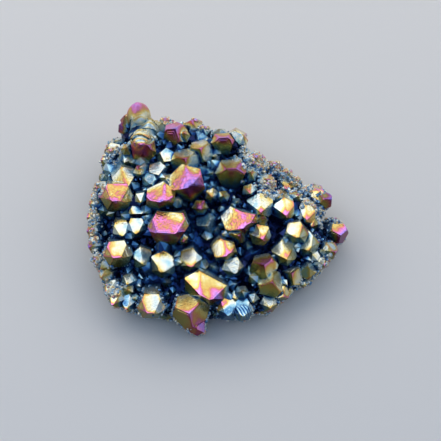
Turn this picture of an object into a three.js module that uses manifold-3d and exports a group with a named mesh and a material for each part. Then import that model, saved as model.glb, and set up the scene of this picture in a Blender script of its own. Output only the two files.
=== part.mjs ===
// Aura quartz cluster: quartz points grown together on a lump of their own rock, all one piece.
// Millimetres, +Z up. The cluster lies on a flat broken base at z = 0, with its show face up and
// leaned towards -Y. The origin is the middle of the base's outline box.
import * as THREE from "three";
import { ConvexGeometry } from "three/addons/geometries/ConvexGeometry.js";
import { mergeVertices } from "three/addons/utils/BufferGeometryUtils.js";
import Module from "manifold-3d";

const wasm = await Module();
wasm.setup();

// ---------- driving dimensions ----------
const FACE_LEAN = THREE.MathUtils.degToRad(30); // the show face leans this far from level, towards -Y
const FACE_HEIGHT = 14; // height of the show face's own origin above the base
const BED_SLOPE = Math.tan(THREE.MathUtils.degToRad(15)); // the bed of rock rises this much towards +Y
const BED_CROWN = 6; // the bed bulges this much in the middle
const BED_DEPTH = 4; // the bed lies this far below the show face's own origin
const EQUATOR = 6; // height at which the rock is widest
const BURIED = 5; // how far the rock's underside would reach below the base, had it not been broken off
const RIM_STEP = 15; // degrees between the rim radii below
const RIM_RADII = [
  33, 29.5, 25, 24.5, 24, 25, 28, 33, 36.5, 41, 39, 39.5,
  37, 38, 37.5, 37.5, 32.5, 30.5, 30.5, 30, 30.5, 29, 31.5, 34.5,
];
const ROCK_DETAIL = 4;
const LUMP_HEIGHT = 1.5;
const PYRAMID_SLOPE = THREE.MathUtils.degToRad(51.8); // quartz's own: from its axis to a tip face's normal
const PRISM_TAPER = THREE.MathUtils.degToRad(3);
const ROOT_DEPTH = 5; // how far a crystal's root goes into the rock
const SMALL_GIRTH = 4.3; // a crystal thinner than this has a plain six-sided tip
const FLANK_RINGS = [
  { height: 8.5, every: 24, rise: 20 },
  { height: 3.5, every: 36, rise: 5 },
];

// ---------- a repeatable random number, 0 to 1 ----------
function randomFrom(seed) {
  let state = seed >>> 0;
  return () => {
    state = (state + 0x6d2b79f5) >>> 0;
    let mixed = Math.imul(state ^ (state >>> 15), 1 | state);
    mixed = (mixed + Math.imul(mixed ^ (mixed >>> 7), 61 | mixed)) ^ mixed;
    return ((mixed ^ (mixed >>> 14)) >>> 0) / 4294967296;
  };
}

function toSolid(geometry) {
  const bare = new THREE.BufferGeometry();
  bare.setAttribute("position", geometry.getAttribute("position"));
  if (geometry.index) bare.setIndex(geometry.index);
  const merged = mergeVertices(bare, 1e-4);
  return new wasm.Manifold(
    new wasm.Mesh({
      numProp: 3,
      vertProperties: merged.attributes.position.array,
      triVerts: new Uint32Array(merged.index.array),
    }),
  );
}

function toGeometry(solid) {
  const { vertProperties, triVerts } = solid.getMesh();
  const geometry = new THREE.BufferGeometry();
  geometry.setAttribute("position", new THREE.BufferAttribute(vertProperties, 3));
  geometry.setIndex(new THREE.BufferAttribute(triVerts, 1));
  geometry.computeVertexNormals();
  return geometry;
}

// ---------- the rock ----------
function rimRadius(angle) {
  const place = (THREE.MathUtils.radToDeg(angle) + 360) % 360 / RIM_STEP;
  const before = Math.floor(place) % RIM_RADII.length;
  const after = (before + 1) % RIM_RADII.length;
  const share = THREE.MathUtils.smoothstep(place - Math.floor(place), 0, 1);
  return THREE.MathUtils.lerp(RIM_RADII[before], RIM_RADII[after], share);
}

// A smooth bumpy value about 0, from a few crossed waves.
function lumps(x, y, z) {
  return (
    Math.sin(0.31 * x + 1.3) * Math.cos(0.27 * y - 0.4) +
    0.6 * Math.sin(0.52 * y + 0.33 * z + 2.1) * Math.cos(0.45 * x - 0.2) +
    0.4 * Math.sin(0.9 * x - 0.7 * y + 0.8 * z)
  );
}

function rockGeometry() {
  const geometry = mergeVertices(
    (() => {
      const ball = new THREE.IcosahedronGeometry(1, ROCK_DETAIL);
      ball.deleteAttribute("normal");
      ball.deleteAttribute("uv");
      return ball;
    })(),
    1e-4,
  );
  const place = geometry.getAttribute("position");
  const point = new THREE.Vector3();
  for (let i = 0; i < place.count; i++) {
    point.fromBufferAttribute(place, i);
    const angle = Math.atan2(point.y, point.x);
    const across = Math.hypot(point.x, point.y);
    const upright = point.z;
    const spread = (upright > 0 ? Math.pow(across, 0.62) : across) * rimRadius(angle);
    const x = Math.cos(angle) * spread;
    const y = Math.sin(angle) * spread;
    const crest = FACE_HEIGHT - BED_DEPTH + BED_SLOPE * y + BED_CROWN * (1 - across * across) - EQUATOR;
    const z = upright > 0
      ? EQUATOR + crest * Math.pow(upright, 0.55)
      : EQUATOR - (EQUATOR + BURIED) * Math.pow(-upright, 0.8);
    const bump = LUMP_HEIGHT * lumps(x, y, z);
    const out = new THREE.Vector3(x / 40, y / 40, (z - EQUATOR) / 18).normalize();
    place.setXYZ(i, x + out.x * bump, y + out.y * bump, z + out.z * bump);
  }
  return geometry;
}

// ---------- one quartz point ----------
// The tip is at the local origin and the crystal runs down -Z. Six steep tip faces meet six prism
// faces; faceSetbacks says how far out each tip face stands, as a share of the girth, so that 0 is
// a face that reaches the tip and a larger share a smaller face.
function crystalGeometry(girth, length, faceSetbacks, prismSetbacks) {
  const planes = [];
  for (let side = 0; side < 6; side++) {
    const turn = Math.PI / 2 + (side * Math.PI) / 3;
    const tipFace = new THREE.Vector3(
      Math.cos(turn) * Math.sin(PYRAMID_SLOPE),
      Math.sin(turn) * Math.sin(PYRAMID_SLOPE),
      Math.cos(PYRAMID_SLOPE),
    );
    planes.push([tipFace, faceSetbacks[side] * girth * Math.cos(PYRAMID_SLOPE)]);
    const prismFace = new THREE.Vector3(
      Math.cos(turn) * Math.cos(PRISM_TAPER),
      Math.sin(turn) * Math.cos(PRISM_TAPER),
      Math.sin(PRISM_TAPER),
    );
    planes.push([prismFace, (girth / 2) * prismSetbacks[side] - girth * 0.5 * Math.sin(PRISM_TAPER)]);
  }
  planes.push([new THREE.Vector3(0, 0, -1), length]);
  return new ConvexGeometry(cornersOf(planes));
}

// Where three planes meet inside all the others.
function cornersOf(planes) {
  const corners = [];
  const matrix = new THREE.Matrix3();
  for (let a = 0; a < planes.length; a++)
    for (let b = a + 1; b < planes.length; b++)
      for (let c = b + 1; c < planes.length; c++) {
        const [na, da] = planes[a];
        const [nb, db] = planes[b];
        const [nc, dc] = planes[c];
        matrix.set(na.x, na.y, na.z, nb.x, nb.y, nb.z, nc.x, nc.y, nc.z);
        if (Math.abs(matrix.determinant()) < 1e-6) continue;
        const corner = new THREE.Vector3(da, db, dc).applyMatrix3(matrix.invert());
        const inside = planes.every(([normal, reach]) => normal.dot(corner) <= reach + 1e-6);
        if (inside && !corners.some((other) => other.distanceTo(corner) < 1e-3)) corners.push(corner);
      }
  return corners;
}

// ---------- the forms of the tips ----------
// How far out each of the six tip faces stands, going round from the face that the roll turns to:
// 0 reaches the tip, more is a smaller face, and less than 0 is one that cuts the tip off.
const POINT = [0, 0.24, 0.02, 0.26, 0, 0.22];
const CHISEL = [0, 0.3, 0.34, 0.02, 0.28, 0.32];
const KEEL = [0.12, 0.3, 0.3, -0.1, 0.3, 0.3];
const ROOF = [0, 0.12, 0.3, 0.32, 0.12, 0];
const SLAB = [-0.15, 0.06, 0.1, 0.12, 0.1, 0.06];
const BROW = [0, 0.16, 0.12, 0, 0.24, 0.18];
const STEEPLE = [-0.04, 0.26, 0.08, 0.06, 0.2, 0.08];
const PROW = [0, 0, 0, 0.36, 0.38, 0];
const EVEN = [0, 0.08, 0.03, 0.1, 0, 0.06];

// How far out each prism face stands, as a share of half the girth, going round in the same way.
const SIX_ALIKE = [1, 1, 1, 1, 1, 1];
const WIDE_ON_ONE_SIDE = [0.86, 0.88, 1, 1.1, 1.58, 0.84];
const NARROW_ON_ONE_SIDE = [1, 1, 1, 1.05, 1.05, 0.72];
const WIDE_ROOF = [0.95, 1.16, 1, 1, 1, 1.2];

// ---------- the crystals of the show face ----------
// Each row: across and up the show face to the tip, girth, stand above the bed, lean from the face's
// normal and the way it leans (degrees from +across, anticlockwise), roll, form, sides if not alike.
const BACK_RIM = [
  [-24.4, 34.6, 6, 8, 44, 92, 0, EVEN],
  [-28.8, 31, 3.8, 5, 36, 115, 0, EVEN],
  [-30.4, 28.2, 4, 4.5, 34, 150, 40, EVEN],
  [-23.2, 23.4, 7.8, 4.4, 14, 270, 0, BROW],
  [-20.6, 29, 5.6, 4.5, 32, 90, 0, EVEN],
  [-16.4, 29.2, 5.4, 4.5, 32, 92, 30, EVEN],
  [-13, 28, 3.8, 4, 32, 85, 0, EVEN],
  [-12.7, 26.2, 6.8, 7.5, 18, 85, 20, POINT],
  [-10.2, 25, 4, 6, 20, 60, 0, POINT],
  [-8.2, 29.2, 5.6, 6, 36, 95, 30, EVEN],
  [-4.6, 27, 3.4, 4, 35, 92, 0, EVEN],
  [-6.1, 23.2, 4.4, 5, 12, 200, 60, EVEN],
  [0.6, 26.4, 4.4, 4, 35, 90, 0, EVEN],
  [1.4, 22.8, 6, 8, 14, 88, 4, KEEL],
  [5.2, 23.2, 5, 4, 6, 240, -30, POINT],
  [7.8, 24.4, 3.6, 6, 40, 65, 0, EVEN],
  [8, 20.6, 3, 4, 30, 60, 0, EVEN],
];
const LEFT_SHOULDER = [
  [-31.6, 23.2, 4.6, 3.5, 35, 140, 0, EVEN],
  [-27.6, 20.6, 3.2, 7, 14, 100, 0, CHISEL],
  [-22.3, 20.8, 7.6, 8.5, 4, 80, -20, KEEL],
  [-32.1, 19.2, 4.8, 4, 10, 260, -10, POINT],
  [-34.8, 20.4, 3.4, 3.5, 40, 150, 0, EVEN],
  [-35.9, 17.2, 3.4, 4, 38, 170, 10, POINT],
  [-32.2, 13.6, 5.4, 4.4, 12, 265, -4, SLAB],
  [-27.4, 9.2, 7.2, 5, 20, 285, 50, ROOF],
  [-23.2, 12.4, 4.2, 4, 12, 260, 0, POINT],
  [-16, 16.2, 5.6, 5.5, 14, 250, -30, POINT],
  [-17.6, 12.2, 5.8, 5, 12, 270, 20, POINT],
  [-19.6, 9.6, 6.7, 5, 10, 240, 30, EVEN],
  [-30.2, 4.4, 8.7, 9, 12, 265, 0, BROW],
  [-36.6, 8.4, 4.4, 4.5, 30, 170, 0, EVEN],
  [-24, 0.7, 4.9, 4, 18, 265, 0, CHISEL],
  [-22.9, 4, 4.2, 5, 16, 262, 10, SLAB],
  [-38.8, 3.6, 4.2, 3.4, 38, 175, 0, EVEN],
  [-39.4, -0.4, 4.2, 3.5, 36, 180, 15, EVEN],
  [-39.4, -4.6, 4, 3.4, 38, 185, 0, EVEN],
];
const CENTRE = [
  [-16.8, 4.5, 8.7, 9, 10, 268, 26, STEEPLE],
  [-9, 8.8, 10.1, 9.5, 8, 290, 45, STEEPLE],
  [-9.7, 16.9, 8.3, 7, 12, 90, 10, POINT],
  [-5.2, 20, 7.4, 7, 12, 95, 15, POINT],
  [4.8, 17, 3.2, 3.5, 20, 80, 0, POINT],
  [3.8, 13, 8.5, 7, 6, 95, 2, KEEL],
  [-2, 12.8, 4.2, 4, 10, 100, 60, POINT],
  [-1.8, 5.6, 4, 4.5, 8, 270, 20, POINT],
  [1.6, 6, 3.2, 4.5, 6, 90, 10, POINT],
  [5.7, 4.1, 3, 3.5, 12, 60, 60, POINT],
  [9.6, 6.6, 4.2, 4, 14, 280, 20, POINT],
  [-5.5, 2, 4.2, 4, 10, 250, 0, CHISEL],
  [-3.4, -3, 6.3, 3, 6, 260, 30, POINT],
  [7.4, -3, 9.9, 9, 14, 295, 48, STEEPLE, NARROW_ON_ONE_SIDE],
  [6.2, -5.8, 5.6, 6.5, 12, 300, 20, POINT],
  [12.6, 2, 7.2, 6.5, 12, 275, 30, ROOF],
];
const CRUSTED_SHOULDER = [
  [11.6, 17.4, 7.4, 5, 26, 65, 20, EVEN],
  [10, 13, 5.2, 4, 14, 60, 10, EVEN],
  [14.8, 10.8, 4.9, 4, 16, 50, 0, EVEN],
  [14, 6.8, 4.2, 3.5, 14, 50, 15, EVEN],
  [17.8, 15.6, 5.6, 4, 32, 60, 0, EVEN],
  [21.4, 13.2, 4.2, 3.5, 34, 55, 10, EVEN],
  [24.2, 11.2, 4, 3, 36, 50, 0, EVEN],
  [20.6, 8.8, 5.6, 3.6, 9, 245, -40, SLAB],
  [24, 6, 4, 3.5, 22, 40, 20, EVEN],
  [18.2, 5.6, 4.2, 3.5, 16, 50, 0, EVEN],
];
const RIGHT_SHOULDER = [
  [20, 0.9, 6, 6.5, 18, 285, 35, ROOF],
  [30.2, 5.2, 4.6, 3.6, 10, 285, -10, SLAB],
  [34.2, 5, 4.4, 6, 38, 10, 20, POINT],
  [31, 7.6, 3.8, 4, 40, 45, 20, EVEN],
  [27.6, 8, 3.6, 3, 36, 50, 0, EVEN],
  [31.4, 1.6, 3, 3.5, 26, 10, 0, EVEN],
  [26.4, -0.4, 5.6, 6, 16, 275, 30, ROOF],
  [36.8, -5.8, 5.8, 4, 15, 325, 0, POINT],
  [28, -3.2, 4.2, 5, 18, 275, 0, SLAB],
  [23.2, -6, 6.3, 7.5, 10, 275, 8, STEEPLE],
  [26.4, -9.4, 6.9, 6.8, 12, 285, 15, SLAB],
  [19.9, -11.8, 6.6, 7, 16, 292, 45, ROOF],
  [27.6, -13.2, 3.4, 3.5, 24, 320, 0, POINT],
  [35, -10.8, 5, 4.4, 30, 345, 0, EVEN],
  [31.6, -14.6, 4.4, 3.6, 30, 325, 20, EVEN],
  [12.8, -6.2, 5.6, 7, 14, 290, 50, ROOF],
];
const LOWER_LEFT = [
  [-15, -4.9, 9.8, 9.5, 10, 265, -4, CHISEL, WIDE_ROOF],
  [-10.2, -7.6, 3, 5.5, 22, 290, 20, POINT],
  [-24.2, -4.7, 5.4, 7, 18, 268, 0, SLAB],
  [-28.3, -5.3, 5.4, 7, 18, 268, 14, SLAB],
  [-29.6, -12.2, 7.8, 8.5, 10, 270, 6, BROW],
  [-27.2, -12, 4.2, 7, 14, 270, 0, EVEN],
  [-22.2, -13.4, 5.6, 6, 14, 270, 40, ROOF],
  [-16.6, -15.6, 6.9, 6.5, 16, 250, -38, SLAB],
  [-7.8, -14.2, 6.3, 6.5, 16, 275, 20, SLAB],
  [2.4, -11.3, 6.9, 6.5, 14, 290, 48, STEEPLE],
  [5, -16.3, 5.4, 5, 24, 295, 10, SLAB],
  [-38.6, -9.4, 4.6, 3.8, 36, 195, 0, EVEN],
  [-36.8, -14.2, 4.6, 3.6, 36, 205, 0, EVEN],
];
const FRONT = [
  [-5.2, -22.9, 11, 8.5, 20, 268, 30, PROW, WIDE_ON_ONE_SIDE],
  [-8.2, -28.2, 10, 8.5, 6, 270, 12, POINT],
  [-6.2, -32.6, 4.8, 5, 2, 270, 30, EVEN],
  [-19.6, -28.2, 7.2, 8.5, 20, 268, 0, BROW],
  [13.6, -14.3, 7.8, 7, 10, 95, 10, POINT],
  [15.8, -19.3, 7.6, 7, 10, 60, 45, POINT],
  [21.8, -17, 6.4, 4.5, 6, 90, 10, POINT],
  [26.6, -14.8, 6, 4, 14, 60, 40, EVEN],
  [19.4, -23.6, 4.6, 5, 24, 310, 60, POINT],
  [15.4, -27, 5, 4.5, 22, 290, 0, EVEN],
  [10.4, -25.4, 3.4, 5, 24, 285, 10, POINT],
  [7.4, -28.6, 5.8, 6.5, 14, 282, 8, SLAB],
  [3, -28.4, 6, 6, 14, 268, -6, SLAB],
  [7, -22, 4, 4.5, 14, 90, 60, POINT],
  [-26.8, -20.2, 4.2, 4, 22, 240, 10, EVEN],
  [-32.8, -22.6, 5.2, 4.5, 34, 215, 0, EVEN],
  [-31, -26.2, 5, 4.5, 38, 230, 0, EVEN],
  [-26.8, -27.4, 5, 5, 32, 250, 20, EVEN],
  [-34.6, -18.4, 4.4, 4, 34, 210, 20, EVEN],
];
const SHOW_CRYSTALS = [
  ...BACK_RIM,
  ...LEFT_SHOULDER,
  ...CENTRE,
  ...CRUSTED_SHOULDER,
  ...RIGHT_SHOULDER,
  ...LOWER_LEFT,
  ...FRONT,
];

// ---------- growing crystals on the rock ----------
const faceToPart = new THREE.Matrix4()
  .makeRotationX(FACE_LEAN)
  .setPosition(0, 0, FACE_HEIGHT);
const FAR = 200;

function hitOn(rock, from, along) {
  const hits = new THREE.Raycaster(from, along).intersectObject(rock);
  return hits.length ? hits[0].point : null;
}

// The bed point that shows at (across, up) on the show face; off the rock, the nearest way in.
function footOn(rock, across, up) {
  const along = new THREE.Vector3(0, 0, -1).transformDirection(faceToPart);
  for (let share = 1; share > 0; share -= 0.01) {
    const from = new THREE.Vector3(across * share, up * share, FAR).applyMatrix4(faceToPart);
    const hit = hitOn(rock, from, along);
    if (hit) return hit;
  }
  throw new Error("no rock under " + [across, up]);
}

function placed(geometry, tip, axis, roll) {
  const top = new THREE.Vector3(0, 1, 0).transformDirection(faceToPart);
  const side = new THREE.Vector3().crossVectors(top, axis).normalize();
  const upward = new THREE.Vector3().crossVectors(axis, side);
  const turned = new THREE.Matrix4().makeBasis(side, upward, axis).setPosition(tip);
  return toSolid(geometry.applyMatrix4(new THREE.Matrix4().makeRotationZ(roll)).applyMatrix4(turned));
}

function showCrystal(rock, row, random) {
  const [across, up, girth, above, leanDegrees, towardDegrees, roll, form, sides = SIX_ALIKE] = row;
  const stand = above + BED_DEPTH * 0.6;
  const lean = THREE.MathUtils.degToRad(leanDegrees);
  const toward = THREE.MathUtils.degToRad(towardDegrees);
  const axisInFace = new THREE.Vector3(
    Math.sin(lean) * Math.cos(toward),
    Math.sin(lean) * Math.sin(toward),
    Math.cos(lean),
  );
  const foot = footOn(rock, across - axisInFace.x * stand, up - axisInFace.y * stand);
  const axis = axisInFace.transformDirection(faceToPart);
  const tip = foot.clone().addScaledVector(axis, stand);
  // keep the tip exactly where the row puts it on the show face
  const inFace = tip.clone().applyMatrix4(faceToPart.clone().invert());
  tip.copy(new THREE.Vector3(across, up, inFace.z).applyMatrix4(faceToPart));
  const small = girth < SMALL_GIRTH;
  const faceSetbacks = form.map((share) => (small ? 0 : share * (0.85 + 0.3 * random())));
  const prismSetbacks = small ? SIX_ALIKE : sides.map((share) => share * (0.92 + 0.16 * random()));
  const geometry = crystalGeometry(girth, stand + ROOT_DEPTH, faceSetbacks, prismSetbacks);
  return placed(geometry, tip, axis, THREE.MathUtils.degToRad(roll));
}

// Smaller crystals all round the sides, below the rim, pointing out and a little up.
function flankCrystals(rock, random) {
  const crystals = [];
  for (let ring = 0; ring < FLANK_RINGS.length; ring++) {
    const { height, every, rise } = FLANK_RINGS[ring];
    for (let degrees = 0; degrees < 360; degrees += every) {
      const angle = THREE.MathUtils.degToRad(degrees + every * (0.5 * ring + 0.6 * random()));
      const girth = 3 + 2.4 * random();
      const outward = new THREE.Vector3(Math.cos(angle), Math.sin(angle), 0);
      const from = outward.clone().multiplyScalar(FAR).setZ(height + 2 * random());
      const foot = hitOn(rock, from, outward.clone().negate());
      const back = Math.sin(angle) > 0.2;
      const lift = THREE.MathUtils.degToRad(rise + 25 * random());
      const axis = outward.multiplyScalar(Math.cos(lift)).setZ(Math.sin(lift));
      const stand = (back ? 1.5 : 1.2) + 1.2 * random();
      const tip = foot.clone().addScaledVector(axis, stand);
      const setbacks = POINT.map((share) => share * (0.6 + 0.6 * random()));
      const sides = setbacks.map(() => 0.9 + 0.2 * random());
      const shape = crystalGeometry(girth, stand + ROOT_DEPTH, setbacks, sides);
      crystals.push(placed(shape, tip, axis, 6 * random()));
    }
  }
  return crystals;
}

function growCluster() {
  const random = randomFrom(7);
  const rockShape = rockGeometry();
  const rock = new THREE.Mesh(rockShape, new THREE.MeshBasicMaterial({ side: THREE.DoubleSide }));
  rock.updateMatrixWorld();
  let cluster = toSolid(rockShape);
  for (const row of SHOW_CRYSTALS) cluster = cluster.add(showCrystal(rock, row, random));
  for (const crystal of flankCrystals(rock, random)) cluster = cluster.add(crystal);
  return cluster;
}

// The rock is broken off flat at its base, and the cluster stands with that cut at z = 0.
const block = new THREE.BoxGeometry(FAR, FAR, FAR).translate(0, 0, FAR / 2);
const cluster = toGeometry(growCluster().intersect(toSolid(block)));
cluster.computeBoundingBox();
const middle = cluster.boundingBox.getCenter(new THREE.Vector3());
cluster.translate(-middle.x, -middle.y, 0);

const auraQuartz = new THREE.MeshStandardMaterial({
  color: 0x9a8450,
  roughness: 0.25,
  metalness: 0.9,
  flatShading: true,
});
const quartzCluster = new THREE.Mesh(cluster, auraQuartz);
quartzCluster.name = "quartz_cluster";

const part = new THREE.Group();
part.add(quartzCluster);
export default part;
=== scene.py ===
"""Looks of the aura quartz cluster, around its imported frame.

Quartz points grown together on a lump of rock, coated in a vacuum with a titanium film so thin that its
thickness sets its colour: navy in the hollows, then blue, pale cyan, cream, gold and orange, and pink on
the tips and edges. Everything is in metres, in the frame's own place.
"""

import logging
import math
from dataclasses import dataclass, field
from enum import Enum
from typing import Any, ClassVar

import bmesh
import bpy
import numpy as np
from bmesh.types import BMEdge, BMesh, BMFace, BMVert
from bpy.types import Mesh, Node, NodeSocket, NodeTree, Object
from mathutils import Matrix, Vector
from mathutils.bvhtree import BVHTree
from mathutils.kdtree import KDTree


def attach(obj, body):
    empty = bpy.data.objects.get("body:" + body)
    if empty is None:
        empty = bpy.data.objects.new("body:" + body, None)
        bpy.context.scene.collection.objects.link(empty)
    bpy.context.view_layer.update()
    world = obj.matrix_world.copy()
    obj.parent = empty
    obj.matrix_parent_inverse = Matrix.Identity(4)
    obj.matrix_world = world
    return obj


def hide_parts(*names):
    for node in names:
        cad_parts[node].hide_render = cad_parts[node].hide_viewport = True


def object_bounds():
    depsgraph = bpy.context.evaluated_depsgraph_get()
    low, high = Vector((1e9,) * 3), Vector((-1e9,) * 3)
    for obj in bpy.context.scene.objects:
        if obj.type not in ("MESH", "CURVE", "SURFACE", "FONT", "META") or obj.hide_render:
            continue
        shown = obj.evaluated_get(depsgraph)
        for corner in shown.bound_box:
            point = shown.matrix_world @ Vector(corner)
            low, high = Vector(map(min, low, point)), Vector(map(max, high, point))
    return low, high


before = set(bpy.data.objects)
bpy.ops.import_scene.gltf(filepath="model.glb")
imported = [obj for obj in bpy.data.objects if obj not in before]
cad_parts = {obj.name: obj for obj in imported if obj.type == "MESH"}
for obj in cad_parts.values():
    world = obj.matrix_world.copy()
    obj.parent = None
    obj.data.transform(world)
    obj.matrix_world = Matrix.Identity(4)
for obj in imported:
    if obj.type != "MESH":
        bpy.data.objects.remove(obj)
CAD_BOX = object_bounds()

LOG = logging.getLogger("aura_quartz")
MM = 0.001
NODE = "quartz_cluster"
LOW, HIGH = (np.array(corner) for corner in CAD_BOX)
SHOW_LEAN = math.radians(30)
SHOW_NORMAL = np.array([0.0, -math.sin(SHOW_LEAN), math.cos(SHOW_LEAN)])
FAN_DEPTH = 75 * MM  # how far under the middle the crystals' directions meet
VAPOUR_AND_LIGHT = np.array([0.22, 0.50, 0.84])  # the way that the titanium vapour came from, set near the lamps: faces turned from it get painted shade
VAPOUR_AND_LIGHT /= np.linalg.norm(VAPOUR_AND_LIGHT)
LEE_SHADE = (0.42, -0.08)  # cosines between a face and the vapour where its lee, a thinner film with painted shade, begins and is full
HOLLOW = 0.2  # up to this openness, next to no vapour came in
TIP_LINES = 300.0  # from here up, a growth line's number says that it runs over a tip face
LINE_START = 100.0  # keeps the growth lines' millimetres above 0 all over the cluster
FAR_MM = 6.0  # further from an edge or a valley than this, the distance no longer matters
TINY, TINY_AREA = 1e-9, 1e-15  # nothing is divided by a length or an area below these

Array = np.ndarray
Order = tuple[tuple[float, str], ...]
ATTRIBUTES = ("film", "rim", "crest", "lee_shade", "line", "mottle", "frost", "bare")


def linear(hex_colour: str) -> tuple[float, float, float, float]:
    """Turn an sRGB hex colour to linear light.

    Args:
        hex_colour: The colour as "#rrggbb".

    Returns:
        Red, green, blue and an alpha of 1.
    """
    values = [int(hex_colour[i : i + 2], 16) / 255 for i in (1, 3, 5)]
    red, green, blue = (v / 12.92 if v <= 0.04045 else ((v + 0.055) / 1.055) ** 2.4 for v in values)
    return red, green, blue, 1.0


def ramp(values: Array | float, start: float, end: float) -> Array:
    """Go evenly from 0 at the start to 1 at the end, which may lie below it, and stay level outside."""
    return np.clip((values - start) / (end - start), 0, 1)


def unit(rows: Array) -> Array:
    """Bring each row to a length of 1."""
    return rows / np.maximum(np.linalg.norm(rows, axis=1), TINY)[:, None]


def in_box(across: float, back: float) -> Array:
    """Turn shares of the CAD box, seen from above, to X and Y in metres."""
    return LOW[:2] + (HIGH - LOW)[:2] * np.array([across, back])


def lee_shade_side(normals: Array) -> Array:
    """Tell how far faces are turned from the vapour and the lamps, from 0 to 1, by their normals, for a
    thinner film with painted shade.
    """
    return ramp(normals @ VAPOUR_AND_LIGHT, *LEE_SHADE)


def fan_axes(points: Array) -> Array:
    """Guess the ways that the crystals at points grow, fanning out from under the middle, as unit rows."""
    return unit(points - ((LOW + HIGH) / 2 - SHOW_NORMAL * FAN_DEPTH))


def patches(points: Array) -> Array:
    """Give a slow unevenness over the cluster, a few millimetres from one patch to the next.

    Args:
        points: Rows in metres.

    Returns:
        From 0 to 1, one number a point.
    """
    x, y, z = (points / MM).T
    wave = np.sin(0.83 * x + 1.7 * np.sin(0.31 * y)) + np.sin(0.71 * y + 1.3 * np.sin(0.43 * x) + 0.5 * z)
    return np.clip(0.5 + 0.45 * wave, 0, 1)


def add_node(
    tree: NodeTree,
    kind: str,
    settings: dict[str, Any] | None = None,
    links: dict[str | int, Any] | None = None,
) -> Node:
    """Add a node with its settings and links.

    Args:
        tree: The node tree it goes in.
        kind: The node's type, such as "ShaderNodeMath".
        settings: Node properties by name.
        links: Input sockets by name or number: an output socket is linked, anything else is the value.

    Returns:
        The new node.
    """
    node = tree.nodes.new(kind)
    for name, value in (settings or {}).items():
        setattr(node, name, value)
    for key, value in (links or {}).items():
        if isinstance(value, NodeSocket):
            tree.links.new(value, node.inputs[key])
        else:
            node.inputs[key].default_value = value
    return node


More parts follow.
